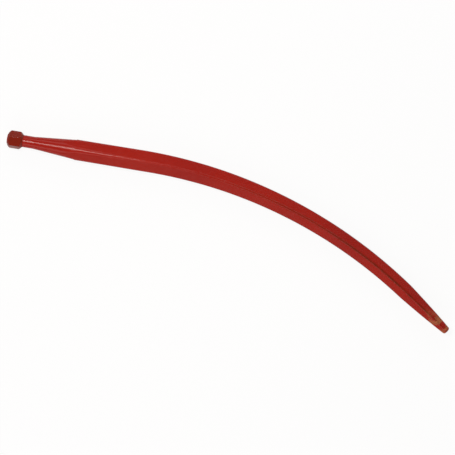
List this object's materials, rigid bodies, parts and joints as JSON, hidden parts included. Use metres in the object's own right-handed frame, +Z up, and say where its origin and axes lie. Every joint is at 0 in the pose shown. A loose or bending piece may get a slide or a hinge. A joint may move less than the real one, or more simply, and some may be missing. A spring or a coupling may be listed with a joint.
{
  "type": "bale spear",
  "caption": "Curved forged bale spear with a square-on-edge tapering blade, blunt forged point, turned fixing cone and hexagon nut.",
  "frame": {"origin": "on the axis of the shank at the shoulder where the neck of the cone starts and the nut seats", "axes": "+X along the shank from the stud to the blade, the blade bends towards -Y, +Z up out of the level plane of the bend as the spear lies on its side"},
  "size_m": [0.9478, 0.2681, 0.0428],
  "materials": {
    "spear_paint": "gloss",
    "nut_paint": "gloss"
  },
  "bodies": {
    "root": {"tine": "spear_paint", "nut": "nut_paint"}
  },
  "joints": []
}
